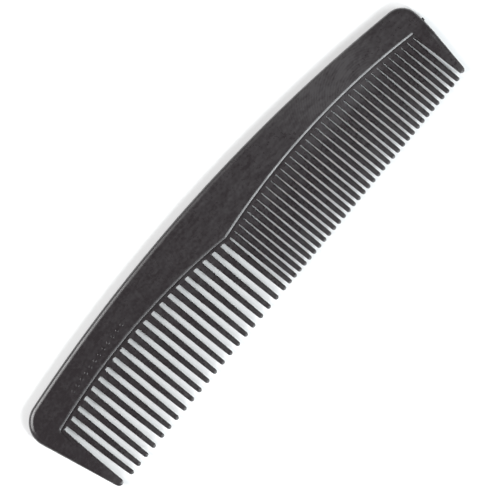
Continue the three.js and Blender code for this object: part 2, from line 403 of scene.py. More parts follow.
class Wire:
    """An output socket whose arithmetic adds Math nodes to its tree."""

    def __init__(self, graph, socket):
        self.graph = graph
        self.socket = socket

    def math(self, operation, *values):
        inputs = dict(enumerate((self, *values)))
        return self.graph.add("ShaderNodeMath", {"operation": operation}, inputs)

    def reflected(self, operation, first):
        """Math with the other value first."""
        return self.graph.add("ShaderNodeMath", {"operation": operation}, {0: first, 1: self})

    def __add__(self, other):
        return self.math("ADD", other)

    __radd__ = __add__

    def __sub__(self, other):
        return self.math("SUBTRACT", other)

    def __rsub__(self, other):
        return self.reflected("SUBTRACT", other)

    def __mul__(self, other):
        return self.math("MULTIPLY", other)

    __rmul__ = __mul__

    def __pow__(self, other):
        return self.math("POWER", other)

    def __rpow__(self, other):
        return self.reflected("POWER", other)

    def __lt__(self, other):
        return self.math("LESS_THAN", other)

    def __gt__(self, other):
        return self.math("GREATER_THAN", other)

    def clamp(self):
        return self.graph.add("ShaderNodeClamp", {}, {"Value": self})

    def root(self):
        return self.math("SQRT")

    def ramp(self, low, high):
        """0 up to low, 1 from high on, and smooth between."""
        settings = {"interpolation_type": "SMOOTHSTEP"}
        return self.graph.add(
            "ShaderNodeMapRange", settings, {"Value": self, "From Min": low, "From Max": high}
        )


class Graph:
    """Adds nodes to a shader or geometry tree."""

    def __init__(self, tree):
        self.tree = tree

    def add(self, kind, settings=None, inputs=None, output=0):
        """Adds a node: its settings first, then the values or links of its sockets.

        It returns the wire of one output, or all the wires if output is None.
        """
        node = self.tree.nodes.new(kind)
        for name, value in (settings or {}).items():
            setattr(node, name, value)
        for name, value in (inputs or {}).items():
            socket = node.inputs[name]
            if isinstance(value, Wire):
                self.tree.links.new(value.socket, socket)
            else:
                socket.default_value = value
        wires = [Wire(self, socket) for socket in node.outputs]
        return wires[output] if wires and output is not None else wires

    def split(self, vector):
        """The three parts of a vector."""
        return self.add("ShaderNodeSeparateXYZ", {}, {"Vector": vector}, output=None)


# ---- Plastic ---------------------------------------------------------------------------------


def mixed(graph, factor, low, high):
    """A colour between low and high."""
    low, high = (value if isinstance(value, Wire) else (*value, 1) for value in (low, high))
    settings = {"data_type": "RGBA", "clamp_factor": True}
    return graph.add("ShaderNodeMix", settings, {0: factor, 6: low, 7: high}, output=2)


def noise(graph, place, scale, detail=2.0, stretch=(1, 1, 1), turn=0.0, shift=(0, 0, 0)):
    """Noise with scale features per millimetre, about 0.5 on average."""
    mapped = graph.add(
        "ShaderNodeMapping",
        {},
        {"Vector": place, "Location": shift, "Rotation": (0, 0, turn), "Scale": stretch},
    )
    return graph.add("ShaderNodeTexNoise", {}, {"Vector": mapped, "Scale": scale, "Detail": detail})


def empty_material(name):
    """A new material and the graph of its empty node tree."""
    material = bpy.data.materials.new(name)
    material.use_nodes = True
    material.node_tree.nodes.clear()
    return material, Graph(material.node_tree)


def black_plastic(look, name):
    """Matt black moulded plastic: slow waves, grain, a dulled and handled skin, painted light towards the
    fine end, painted sheen towards the tips, fine scratches and dust.
    """
    material, graph = empty_material(name)
    place = graph.add("ShaderNodeTexCoord", {}, output=3)
    place = graph.add(
        "ShaderNodeVectorMath", {"operation": "MULTIPLY"}, {0: place, 1: (1 / MM, 1 / MM, 1 / MM)}
    )
    skin = {key: noise(graph, place, **values) for key, values in NOISES.items()}
    swirl, mottle, cloud = (skin[key] - NOISE_MEAN for key in ("swirl", "mottle", "cloud"))

    scratches = skin["hairlines"].ramp(*HAIRLINE_RAMP) + skin["crossing"].ramp(*CROSSING_RAMP)
    scratches = (scratches * skin["patches"].ramp(*PATCH_RAMP)).clamp()
    specks = skin["specks"].ramp(*SPECK_RAMP) * skin["cloud"].ramp(*SPECK_CLOUD_RAMP)
    centre = [-part for part in RIDGE_CENTRE]
    centred = graph.add("ShaderNodeMapping", {}, {"Vector": place, "Location": centre})
    rings = {"wave_type": "RINGS", "rings_direction": "Z"}
    ridges = graph.add("ShaderNodeTexWave", rings, {"Vector": centred, **RIDGES})

    x, y, _ = graph.split(place)
    handled = x.ramp(*HANDLED_START) * x.ramp(*HANDLED_STOP)
    # Painted light along the comb towards the fine end and a handled smear, both taken off the teeth, then
    # painted sheen towards the tips.
    smear_and_painted_light = x.ramp(*PAINTED_LIGHT_ALONG) * PAINTED_LIGHT_STRENGTH + handled * HANDLED_HAZE
    smear_and_painted_light = smear_and_painted_light * (1 - y.ramp(*TEETH_START) * TEETH_SPARED) + y.ramp(*TIPS_START) * TIP_PAINTED_SHEEN
    film_and_painted_light = smear_and_painted_light + FILM_BASE + swirl * (smear_and_painted_light + SWIRL_BASE) * SWIRL_FILM + mottle * MOTTLE_FILM
    film_and_painted_light = film_and_painted_light + (ridges - RIDGE_MEAN) * handled * RIDGE_FILM
    tint = mixed(graph, film_and_painted_light.clamp(), look.base, look.film_and_painted_light)
    tint = mixed(graph, scratches * SCRATCH_DUST + specks * SPECK_DUST, tint, look.dust)
    roughness = look.roughness + cloud * CLOUD_ROUGHNESS + smear_and_painted_light * LIGHTENING_ROUGHNESS
    roughness = roughness + mottle * MOTTLE_ROUGHNESS + specks * SPECK_ROUGHNESS
    height = skin["waves"] * look.waviness + skin["grain"] * look.grain
    height = height - scratches * (SCRATCH_DEPTH * look.grain)
    bump = graph.add("ShaderNodeBump", {}, {"Strength": 1.0, "Distance": 1.0, "Height": height})
    plastic = graph.add(
        "ShaderNodeBsdfPrincipled",
        {},
        {"Base Color": tint, "Roughness": roughness, "Normal": bump, "IOR": 1.5},
    )
    graph.add("ShaderNodeOutputMaterial", {}, {"Surface": plastic})
    return material


def comb_plastic():
    """The one plastic that the whole comb is moulded in."""
    name = "black_moulded_plastic"
    return bpy.data.materials.get(name) or black_plastic(bpy.context.scene.comb_plastic, name)


# ---- Mesh helpers ----------------------------------------------------------------------------


def placed(name, data):
    """A new object in the scene."""
    item = bpy.data.objects.new(name, data)
    bpy.context.scene.collection.objects.link(item)
    return item


def finished(name, mesh, nodes):
    """Places a mesh as a finished piece, which stands for its CAD nodes where it has any."""
    mesh.materials.clear()
    mesh.materials.append(comb_plastic())
    piece = placed(name, mesh)
    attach(piece, BODY)
    if nodes:
        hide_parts(*nodes)
    return piece


def to_mesh(bm, name, sharp_degrees=SHARP_DEGREES):
    """Turns a bmesh into a smooth-shaded mesh whose sharper edges stay crisp."""
    bmesh.ops.recalc_face_normals(bm, faces=bm.faces)
    mesh = bpy.data.meshes.new(name)
    bm.to_mesh(mesh)
    bm.free()
    mesh.shade_smooth()
    mesh.set_sharp_from_angle(angle=math.radians(sharp_degrees))
    return mesh


def solid(rings):
    """A closed solid: rings of equal length joined with quads, and both ends capped."""
    bm = bmesh.new()
    rows = [[bm.verts.new(point) for point in ring] for ring in rings]
    count = len(rows[0])
    for low, high in zip(rows, rows[1:]):
        for i in range(count):
            bm.faces.new((low[i], low[(i + 1) % count], high[(i + 1) % count], high[i]))
    bm.faces.new(rows[0])
    bm.faces.new(rows[-1])
    return bm


def lerp(a, b, t):
    return a + (b - a) * t


def smooth(t):
    t = min(max(t, 0.0), 1.0)
    return t * t * (3 - 2 * t)


def steps(count):
    return [i / count for i in range(count + 1)]


# ---- Plan of the comb ------------------------------------------------------------------------


class Edge:
    """A point of the raised outline: its place, the way inwards, and how its edge is shaped.

    shape is 0 for the outer rim, 1 for the coarse shoulder and 2 for the fine shoulder.
    """

    def __init__(self, x, y, inward, shape):
        self.x = x
        self.y = y
        self.inward = inward
        self.shape = shape

    def point(self, inset, height):
        """The point at an inset from the outline and at a height."""
        return self.x + self.inward[0] * inset, self.y + self.inward[1] * inset, height


class Turn:
    """A round stretch of outline about a centre."""

    def __init__(self, x, y, radius):
        self.x = x
        self.y = y
        self.radius = radius

    def edges(self, start, stop, count, shape, inside=True):
        """Edges from angle start to angle stop. The material is at the centre's side if inside."""
        way = -1 if inside else 1
        for t in steps(count):
            a = lerp(start, stop, t)
            c, s = math.cos(a), math.sin(a)
            yield Edge(self.x + self.radius * c, self.y + self.radius * s, (way * c, way * s), shape)

    def angle_to(self, other):
        return math.atan2(other.y - self.y, other.x - self.x)


class End:
    """One end of the comb: a rounded corner, then a side that leans towards the tooth tips."""

    def __init__(self, sizes, side):
        coarse = side < 0
        name = "coarse" if coarse else "fine"

        def own(key):
            return getattr(sizes, f"{name}_{key}")

        self.sizes = sizes
        self.side = side
        self.corner_radius = own("corner")
        self.blend = own("corner") if coarse else own("blend")
        self.lean = own("lean")
        self.hook_radius = own("hook")
        self.strip = own("strip")
        self.fade = own("fade")
        self.draft = own("draft")
        self.shape = 1 if coarse else 2
        self.node = f"{name}_end_guard"
        self.arc = (COARSE if coarse else FINE).shoulder(sizes)
        low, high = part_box(self.node)
        self.cut = high.y
        self.tip_y = low.y
        self.inner_root = min(abs(low.x), abs(high.x))
        self.hook_x = self.inner_root + self.strip
        back = Turn(sizes.back_crest_x, BACK_CREST - sizes.back_radius, sizes.back_radius)
        x = side * (HALF_LENGTH - self.corner_radius)
        across = x - back.x
        y = back.y + math.sqrt((back.radius - self.corner_radius) ** 2 - across**2)
        self.back = back
        self.corner = Turn(x, y, self.corner_radius)

    def lean_at(self, y):
        """Lean of the outer side at height y."""
        drop = min(self.corner.y - y, self.blend * math.sin(self.lean))
        return math.asin(drop / self.blend)

    def side_at(self, y):
        """Distance of the outer side from the comb's middle at height y."""
        turned = self.lean_at(y)
        straight = max(0.0, self.corner.y - y - self.blend * math.sin(self.lean))
        return HALF_LENGTH - self.blend * (1 - math.cos(turned)) - math.tan(self.lean) * straight

    def outer_edges(self):
        """Edges from the guard's cut up the side and round the corner."""
        for t in steps(SIDE_STEPS):
            y = lerp(self.cut, self.corner.y, t)
            a = self.lean_at(y)
            inward = (-self.side * math.cos(a), math.sin(a))
            if t == 0:
                inward = (-self.side / math.cos(a), 0)
            yield Edge(self.side * self.side_at(y), y, inward, 0)
        start = 0 if self.side > 0 else math.pi
        stop = self.back.angle_to(self.corner)
        yield from list(self.corner.edges(start, stop, CORNER_STEPS, 0))[1:]

    def hook(self):
        """The turn of the shoulder into the guard's inner side."""
        x = self.side * (self.hook_x - self.hook_radius)
        arc = self.arc
        y = arc.y + math.sqrt((arc.radius - self.hook_radius) ** 2 - (x - arc.x) ** 2)
        return Turn(x, y, self.hook_radius)

    def inner_edges(self):
        """Edges from the guard's cut up to the shoulder."""
        hook = self.hook()
        low = math.asin(max(0.0, self.cut - hook.y) / hook.radius)
        start = low if self.side > 0 else math.pi - low
        turn = list(hook.edges(start, self.arc.angle_to(hook), HOOK_STEPS, self.shape, inside=False))
        yield Edge(turn[0].x, self.cut, (self.side, 0), self.shape)
        for i, edge in enumerate(turn):
            edge.shape = lerp(self.shape, 2, math.sin(math.pi * i / HOOK_STEPS))
            if i or not low:
                yield edge


def valley_turn(sizes):
    """The rounding, inside the material, where the two shoulder arcs meet."""
    coarse, fine, radius = COARSE.shoulder(sizes), FINE.shoulder(sizes), sizes.valley

    def height(arc, x):
        return arc.y + math.sqrt((arc.radius + radius) ** 2 - (x - arc.x) ** 2)

    low, high = COARSE.centres[-1] - COARSE.pitch, FINE.centres[0] + COARSE.pitch
    for _ in range(VALLEY_HALVINGS):
        x = (low + high) / 2
        if height(coarse, x) > height(fine, x):
            low = x
        else:
            high = x
    return Turn(x, height(coarse, x), radius)


def raised_outline(sizes):
    """Edges of the raised part, clockwise from the coarse guard's cut."""
    coarse, fine = End(sizes, -1), End(sizes, 1)
    back = coarse.back
    rim = list(coarse.outer_edges())
    ends = [back.angle_to(coarse.corner), back.angle_to(fine.corner)]
    rim += list(back.edges(*ends, BACK_STEPS, 0))[1:]
    rim += list(reversed(list(fine.outer_edges())))[1:]
    valley = valley_turn(sizes)
    shoulder = list(fine.inner_edges())
    spread = [fine.arc.angle_to(fine.hook()), fine.arc.angle_to(valley)]
    shoulder += list(fine.arc.edges(*spread, SHOULDER_STEPS, 2, inside=False))[1:]
    turn = [valley.angle_to(fine.arc), valley.angle_to(coarse.arc)]
    for i, edge in enumerate(list(valley.edges(*turn, VALLEY_STEPS, 0))[1:]):
        edge.shape = 2 - (i + 1) / VALLEY_STEPS
        shoulder.append(edge)
    spread = [coarse.arc.angle_to(valley), coarse.arc.angle_to(coarse.hook())]
    shoulder += list(coarse.arc.edges(*spread, SHOULDER_STEPS, 1, inside=False))[1:]
    shoulder += list(reversed(list(coarse.inner_edges())))[1:]
    return rim + shoulder


# ---- Edge profiles ---------------------------------------------------------------------------


def rim_profile(sizes):
    """(inset, height) points of the rim: a steep rounding up from its land, then a soft chamfer."""
    points = []
    for t in steps(PROFILE_STEPS):
        if t < RIM_KNEE_SHARE:
            out = (t / RIM_KNEE_SHARE) ** 2
            height = out ** (1 / RIM_STEEPNESS)
            points.append((RIM_KNEE * out, lerp(sizes.land, FACE - RIM_DROP, height)))
        else:
            left = (1 - t) / (1 - RIM_KNEE_SHARE)
            points.append((lerp(sizes.rim, RIM_KNEE, left), FACE - RIM_DROP * left**RIM_EASE))
    return points


def shoulder_profile(sizes, bevel, drop):
    """(inset, height) points of a shoulder: a steep foot, then a bevel about the shoulder line."""
    start = -BEVEL_OUT * bevel
    points = [(start - FOOT_WIDTH, sizes.web - SEAM)]
    for t in steps(PROFILE_STEPS - 1):
        points.append((start + bevel * t, FACE - drop * (1 - t) ** BEVEL_EASE))
    return points


def edge_profile(sizes, shape):
    """The profile for a shape number, mixed between two profiles where it isn't whole."""
    known = [
        rim_profile(sizes),
        shoulder_profile(sizes, sizes.coarse_bevel, sizes.coarse_drop),
        shoulder_profile(sizes, sizes.fine_bevel, sizes.fine_drop),
    ]
    low = min(int(shape), 1)
    pairs = zip(known[low], known[low + 1])
    return [(lerp(a[0], b[0], shape - low), lerp(a[1], b[1], shape - low)) for a, b in pairs]


# ---- Spine and guards ------------------------------------------------------------------------


class COMB_OT_spine(bpy.types.Operator):
    """Build the spine: rounded back, corners and the two scalloped shoulders"""

    bl_idname = "comb.spine"
    bl_label = "Spine"

    def execute(self, context):
        sizes = context.scene.comb_spine
        edges = raised_outline(sizes)
        profiles = {edge.shape: edge_profile(sizes, edge.shape) for edge in edges}
        upper = parting_rings(sizes, edges)
        for k in range(PROFILE_STEPS + 1):
            upper.append([edge.point(*profiles[edge.shape][k]) for edge in edges])
        margin = []
        for edge in edges:
            inset, height = profiles[edge.shape][-1]
            margin.append(edge.point(inset + FACE_MARGIN, height))
        upper.append(margin)
        lower = [[(x, y, -z) for x, y, z in ring] for ring in upper[1:]]
        rings = [[(x, y, MID_Z + z) for x, y, z in ring] for ring in [*reversed(lower), *upper]]
        bm = solid(rings)
        finished("spine_moulding", to_mesh(bm, "spine_moulding"), ["spine"])
        return {"FINISHED"}


def parting_rings(sizes, edges):
    """Rings of the parting line, which stands out a little from the rim's land."""
    rings = []
    for height, out in ((0.0, sizes.parting), (PARTING_HALF, sizes.parting), (PARTING_HALF, 0.0)):
        ring = []
        for edge in edges:
            step = out if edge.shape == 0 else 0.0
            rise = height if step else height * (1 + PARTING_SPREAD)
            ring.append(edge.point(-step, rise))
        rings.append(ring)
    return rings


class COMB_OT_guards(bpy.types.Operator):
    """Build the wide outer tooth at each end of the comb"""

    bl_idname = "comb.guards"
    bl_label = "End guards"

    def execute(self, context):
        sizes = context.scene.comb_spine
        for side, name in ((-1, "coarse_guard_moulding"), (1, "fine_guard_moulding")):
            end = End(sizes, side)
            bm = solid([guard_tuck(end), *(guard_section(end, t) for t in guard_stations())])
            bmesh.ops.remove_doubles(bm, verts=bm.verts, dist=MERGE)
            finished(name, to_mesh(bm, name), [end.node])
        return {"FINISHED"}


def guard_stations():
    """Shares of the guard's length, closer together round its tip."""
    straight = [GUARD_STRAIGHT * t for t in steps(GUARD_STEPS)]
    nose = [lerp(GUARD_STRAIGHT, 1, math.sin(math.radians(90 * t))) for t in steps(NOSE_STEPS)]
    return straight + nose[1:]


def guard_tuck(end):
    """Section above the guard's root, hidden inside the spine except for the low strip."""
    section = []
    middle = lerp(end.inner_root, end.side_at(end.cut), 0.5)
    strip_level = end.sizes.web + 2 * STRIP_RISE
    for x, _, z in guard_section(end, 0):
        out = abs(x) - middle
        if abs(z - MID_Z) > strip_level or out > 0:
            x = end.side * (middle + out * TUCK_SHRINK)
            z = lerp(MID_Z, z, TUCK_SHRINK)
        section.append((x, end.cut + TUCK_RISE, z))
    return section


def guard_section(end, share_down):
    """Closed section of a guard, at a share of the way from its root to its tip."""
    sizes = end.sizes
    y = lerp(end.cut, end.tip_y, share_down)
    nose = max(0.0, (share_down - GUARD_STRAIGHT) / (1 - GUARD_STRAIGHT))
    shrink = max(math.sqrt(1 - nose * nose), NOSE_END)
    outer = end.side_at(y)
    inner = end.inner_root + end.draft * share_down**DRAFT_EASE
    middle = lerp(inner, outer, 0.5)
    outer, inner = lerp(middle, outer, shrink), lerp(middle, inner, shrink)
    width = outer - inner
    taper = smooth(share_down / GUARD_TAPER)
    face = lerp(FACE, sizes.guard_tip, share_down * taper) * lerp(NOSE_FLAT, 1, shrink)
    fade = 1 - smooth((end.cut - y) / end.fade)
    strip_level = sizes.web + STRIP_RISE
    step = (FACE - strip_level) * fade
    rim_width = min(sizes.rim / math.cos(end.lean_at(y)), RIM_SHARE * width)
    land = min(sizes.land, LAND_SHARE * face)
    points = []
    for inset, height in rim_profile(sizes):
        rise = (height - sizes.land) / (FACE - sizes.land)
        points.append((outer - rim_width * inset / sizes.rim, lerp(land, face, rise)))
    strip = min(end.strip, STRIP_SHARE * width)
    foot = inner + strip
    low = face - step
    for inset, height in reversed(edge_profile(sizes, end.shape)):
        drop = FACE - max(height, strip_level)
        points.append((foot + inset * strip / end.strip, face - drop * fade))
    edge = min(GUARD_EDGE, EDGE_SHARE * width, EDGE_SHARE * face)
    points.append((lerp(foot, inner + edge, 0.5), low))
    for t in steps(EDGE_STEPS):
        a = math.radians(90 * t)
        points.append((inner + edge * (1 - math.sin(a)), low - edge * (1 - math.cos(a))))
    whole = points + [(x, -z) for x, z in reversed(points)]
    return [(end.side * x, y, MID_Z + z) for x, z in whole]


# ---- Teeth -----------------------------------------------------------------------------------


def tooth_rows(field, sizes, nominal):
    """Rows of one quarter of a tooth cell: outer point, way inwards, and inner point on its middle.

    The gap's root is at y = 0. Rows above it end at the border with the next cell.
    """
    half = field.pitch / 2
    root, fillet = field.root_half, sizes.fillet
    tip, nose = sizes.tip_half, sizes.tip_half * TIP_LENGTH
    rows = [((half, y), None, (0, y)) for y in WEB_ROWS]
    rows.append(((half, 0), (0, 1), (0, WEB_ROWS[-1] * ROOT_MIDDLE)))
    for t in steps(FILLET_STEPS):
        a = math.radians(90 * t)
        outer = (root + fillet * (1 - math.sin(a)), fillet * (math.cos(a) - 1))
        rows.append((outer, (-math.sin(a), math.cos(a)), (0, lerp(*FILLET_MIDDLE, t) * fillet)))
    start, stop = -fillet, nose - nominal
    for t in steps(SIDE_ROWS)[1:]:
        y = lerp(start, stop, t)
        rows.append(((lerp(root, tip, t), y), (-1, 0), (0, y - SIDE_MIDDLE * fillet * (1 - t))))
    for t in steps(TIP_ROWS)[1:]:
        a = math.radians(90 * t)
        outer = (tip * math.cos(a), stop - nose * math.sin(a))
        normal = Vector((math.cos(a) / tip, math.sin(a) / nose)).normalized()
        depth = nose - sizes.edge * TIP_EDGE - TIP_GAP
        rows.append((outer, (-normal.x, normal.y), (0, stop - depth * math.sin(a))))
    return rows


def tooth_cell(field, sizes, web, name):
    """Mesh of one tooth with its share of the web, with how far down each point is as "reach"."""
    nominal = -field.tip_y
    bm = bmesh.new()
    lines = []

    def top(y):
        """Half thickness and crown at height y."""
        down = max(0.0, -y) / nominal
        thick = lerp(web, sizes.tip_thickness, down)
        into = max(0.0, sizes.tip_slope - nominal - y) / sizes.tip_slope
        thick -= sizes.tip_drop * into * into
        return thick, sizes.crown * smooth(-y / CROWN_START)

    for outer, inward, inner in tooth_rows(field, sizes, nominal):
        line = []
        start = Vector(outer)
        thick, side_crown = top(start.y)
        if inward:
            way = Vector(inward)
            down = smooth(-outer[1] / CROWN_START)
            edge = min(lerp(sizes.root_edge, sizes.edge, down), TIP_EDGE_SHARE * thick)
            rounded = edge * (TIP_EDGE if outer[1] < sizes.tip_half * TIP_LENGTH - nominal else 1)
            level = thick - side_crown - edge
            line.append((*start, 0))
            for t in steps(ROUND_STEPS):
                a = math.radians(90 * t)
                place = start + way * rounded * (1 - math.cos(a))
                line.append((*place, level + edge * math.sin(a)))
            start = start + way * rounded
        else:
            line.append((*start, thick))
        for share_in in CROWN_COLUMNS:
            place = start.lerp(Vector(inner), share_in)
            thick, crown = top(place.y)
            line.append((*place, thick - crown * (1 - share_in) ** 2))
        lines.append([bm.verts.new(point) for point in line])
    for low, high in zip(lines, lines[1:]):
        shared = min(len(low), len(high))
        a, b = low[-shared:], high[-shared:]
        for i in range(shared - 1):
            bm.faces.new((a[i], a[i + 1], b[i + 1], b[i]))
    hem = [bm.verts.new((v.co.x, v.co.y, 0)) for v in lines[0]]
    for i in range(len(hem) - 1):
        bm.faces.new((lines[0][i], lines[0][i + 1], hem[i + 1], hem[i]))
    for axis in ((1, 0, 0), (0, 0, 1)):
        copy = bmesh.ops.duplicate(bm, geom=bm.verts[:] + bm.faces[:])
        moved = [item for item in copy["geom"] if isinstance(item, bmesh.types.BMVert)]
        for vert in moved:
            vert.co = Vector([-c if a else c for c, a in zip(vert.co, axis)])
    bmesh.ops.remove_doubles(bm, verts=bm.verts, dist=MERGE)
    bmesh.ops.dissolve_degenerate(bm, edges=bm.edges, dist=MERGE)
    bmesh.ops.recalc_face_normals(bm, faces=bm.faces)
    layer = bm.verts.layers.float.new("reach")
    for vert in bm.verts:
        vert[layer] = max(0.0, -vert.co.y / nominal)
    mesh = bpy.data.meshes.new(name)
    bm.to_mesh(mesh)
    bm.free()
    return mesh


ROW_INPUTS = {
    "Count": "NodeSocketInt",
    "First": "NodeSocketFloat",
    "Pitch": "NodeSocketFloat",
    "Arc middle": "NodeSocketFloat",
    "Arc height": "NodeSocketFloat",
    "Arc radius": "NodeSocketFloat",
    "Material": "NodeSocketMaterial",
}

TEETH_INPUTS = {
    **ROW_INPUTS,
    "Tip": "NodeSocketFloat",
    "Nominal length": "NodeSocketFloat",
    "Start edge": "NodeSocketFloat",
    "End edge": "NodeSocketFloat",
    "Bend": "NodeSocketFloat",
    "Drift": "NodeSocketFloat",
    "End bend": "NodeSocketFloat",
    "Kink": "NodeSocketFloat",
    "Kink tooth": "NodeSocketInt",
    "Seed": "NodeSocketInt",
    "Middle height": "NodeSocketFloat",
}


def group_with(name, inputs):
    """A new geometry tree with named inputs: (tree, graph, wire of the geometry, wires by name)."""
    tree = bpy.data.node_groups.new(name, "GeometryNodeTree")
    tree.interface.new_socket("Geometry", in_out="INPUT", socket_type="NodeSocketGeometry")
    for label, kind in inputs.items():
        tree.interface.new_socket(label, in_out="INPUT", socket_type=kind)
    tree.interface.new_socket("Geometry", in_out="OUTPUT", socket_type="NodeSocketGeometry")
    graph = Graph(tree)
    wires = {wire.socket.name: wire for wire in graph.add("NodeGroupInput", output=None)}
    return tree, graph, wires.pop("Geometry"), wires


def row_values(count, first, pitch, arc):
    """Values of the inputs that every row has. arc is (middle, height, radius)."""
    middle, height, radius = arc
    return {
        "Count": count,
        "First": first,
        "Pitch": pitch,
        "Arc middle": middle,
        "Arc height": height,
        "Arc radius": radius,
        "Material": comb_plastic(),
    }


def line_of_points(graph, given):
    """Points in a straight line along the comb."""
    start = graph.add("ShaderNodeCombineXYZ", {}, {"X": given["First"]})
    offset = graph.add("ShaderNodeCombineXYZ", {}, {"X": given["Pitch"]})
    return graph.add(
        "GeometryNodeMeshLine",
        {"mode": "OFFSET"},
        {"Count": given["Count"], "Start Location": start, "Offset": offset},
    )


def arc_at(x, given):
    """Height of the arc at a place along the comb."""
    across = x - given["Arc middle"]
    drop = given["Arc radius"] - (given["Arc radius"] ** 2 - across * across).root()
    return given["Arc height"] - drop


def teeth_tree():
    """Geometry tree that repeats a tooth cell, with the gaps' roots on an arc and the tips in line."""
    tree, graph, cell, given = group_with("comb_teeth_row", TEETH_INPUTS)
    line = line_of_points(graph, given)
    index = graph.add("GeometryNodeInputIndex")
    low, high = given["Drift"] - given["Bend"], given["Drift"] + given["Bend"]
    random = graph.add(
        "FunctionNodeRandomValue",
        {"data_type": "FLOAT"},
        {2: low, 3: high, "ID": index, "Seed": given["Seed"]},
        output=1,
    )
    # Both are whole numbers, so -0.5 parts the teeth before the kink from those after it.
    after = index - given["Kink tooth"]
    kinked = given["Kink"] * (after > -0.5) * KINK_FALL**after
    bend = random + given["End bend"] * END_BEND_FALL**index + kinked
    line = graph.add(
        "GeometryNodeStoreNamedAttribute",
        {"data_type": "FLOAT", "domain": "POINT"},
        {"Geometry": line, "Name": "bend", "Value": bend},
    )
    row = graph.add("GeometryNodeInstanceOnPoints", {}, {"Points": line, "Instance": cell})
    row = graph.add("GeometryNodeRealizeInstances", {}, {"Geometry": row})
    named = {"data_type": "FLOAT"}
    reach = graph.add("GeometryNodeInputNamedAttribute", named, {"Name": "reach"})
    bent = graph.add("GeometryNodeInputNamedAttribute", named, {"Name": "bend"})
    x, y, z = graph.split(graph.add("GeometryNodeInputPosition"))
    half = given["Pitch"] * CELL_HALF
    at_start = x < given["First"] - half
    at_end = x > given["First"] + given["Pitch"] * (given["Count"] - 1) + half
    sideways = x + bent * reach * reach
    sideways = sideways * (1 - at_start) * (1 - at_end)
    sideways = sideways + given["Start edge"] * at_start + given["End edge"] * at_end
    down = y + arc_at(x, given) * (1 - reach) + (given["Tip"] + given["Nominal length"]) * reach
    up = z + given["Middle height"]
    place = graph.add("ShaderNodeCombineXYZ", {}, {"X": sideways, "Y": down, "Z": up})
    row = graph.add("GeometryNodeSetPosition", {}, {"Geometry": row, "Position": place})
    row = graph.add("GeometryNodeMergeByDistance", {}, {"Geometry": row, "Distance": MERGE})
    row = graph.add("GeometryNodeSetMaterial", {}, {"Geometry": row, "Material": given["Material"]})
    graph.add("NodeGroupOutput", {}, {"Geometry": row})
    return tree


def grown(mesh, tree, values, name):
    """Runs a geometry tree on a mesh and returns the plain mesh that it makes."""
    seed_object = placed(name + "_seed", mesh)
    modifier = seed_object.modifiers.new("grow", "NODES")
    modifier.node_group = tree
    for item in tree.interface.items_tree:
        if item.in_out == "INPUT" and item.name in values:
            modifier[item.identifier] = values[item.name]
    depsgraph = bpy.context.evaluated_depsgraph_get()
    result = bpy.data.meshes.new_from_object(seed_object.evaluated_get(depsgraph))
    result.name = name
    seed_object.modifiers.remove(modifier)
    bpy.data.objects.remove(seed_object)
    if not result.polygons:
        raise RuntimeError(f"{name} came out empty")
    return result


def closed(mesh):
    """Fills the open ends of a row and shades it smooth between its crisp edges."""
    bm = bmesh.new()
    bm.from_mesh(mesh)
    rims = [edge for edge in bm.edges if len(edge.link_faces) == 1]
    bmesh.ops.holes_fill(bm, edges=rims, sides=0)
    bmesh.ops.recalc_face_normals(bm, faces=bm.faces)
    bm.to_mesh(mesh)
    bm.free()
    mesh.shade_smooth()
    mesh.set_sharp_from_angle(angle=math.radians(SHARP_DEGREES))
    for name in ("bend", "reach"):
        layer = mesh.attributes.get(name)
        if layer:
            mesh.attributes.remove(layer)
    return mesh


class COMB_OT_teeth(bpy.types.Operator):
    """Build the row of coarse teeth and the row of fine teeth, each with its share of the web"""

    bl_idname = "comb.teeth"
    bl_label = "Rows of teeth"

    def execute(self, context):
        scene = context.scene
        spine = scene.comb_spine
        ends = {-1: End(spine, -1), 1: End(spine, 1)}
        tree = teeth_tree()
        rows = (
            ("coarse_teeth_row", COARSE, scene.comb_coarse_teeth, -ends[-1].hook_x - WEB_TUCK, FIELD_JOIN),
            ("fine_teeth_row", FINE, scene.comb_fine_teeth, FIELD_JOIN, ends[1].hook_x + WEB_TUCK),
        )
        for name, field, sizes, start, stop in rows:
            values = {
                **row_values(field.count, field.centres[0], field.pitch, field.arc),
                "Tip": field.tip_y - TIP_REACH,
                "Nominal length": -field.tip_y,
                "Start edge": start,
                "End edge": stop,
                "Bend": sizes.bend,
                "Drift": sizes.drift,
                "End bend": sizes.end_bend,
                "Kink": sizes.kink,
                "Kink tooth": sizes.kink_tooth,
                "Seed": sizes.seed,
                "Middle height": MID_Z,
            }
            cell = tooth_cell(field, sizes, spine.web, name + "_cell")
            mesh = closed(grown(cell, tree, values, name))
            bpy.data.meshes.remove(cell)
            finished(name, mesh, field.nodes)
        return {"FINISHED"}


# ---- Small details ---------------------------------------------------------------------------


class COMB_OT_gate_stub(bpy.types.Operator):
    """Build the small broken stub that the mould's gate leaves on the fine end"""

    bl_idname = "comb.gate_stub"
    bl_label = "Gate stub"

    def execute(self, context):
        sizes = context.scene.comb_details
        end = End(context.scene.comb_spine, 1)
        x = end.side_at(sizes.stub_y)
        rings = []
        for t in steps(STUB_STEPS):
            out = lerp(-STUB_ROOT, sizes.stub_reach, t)
            wide = sizes.stub_width / 2 * lerp(1, STUB_TAPER, t)
            tall = STUB_HALF_HEIGHT * lerp(1, STUB_TAPER, t)
            ring = []
            for side in range(STUB_SIDES):
                a = 2 * math.pi * side / STUB_SIDES
                rough = 1 + STUB_ROUGH * math.sin(STUB_LOBES * a + STUB_TWIST * t) * t
                torn = STUB_TEAR * math.sin(STUB_TEAR_LOBES * a + 1) * t * t
                place = (x + out + torn, sizes.stub_y + wide * rough * math.cos(a))
                ring.append((*place, MID_Z + tall * rough * math.sin(a)))
            rings.append(ring)
        finished("gate_stub", to_mesh(solid(rings), "gate_stub"), [])
        return {"FINISHED"}


PIP_INPUTS = {**ROW_INPUTS, "Face height": "NodeSocketFloat"}


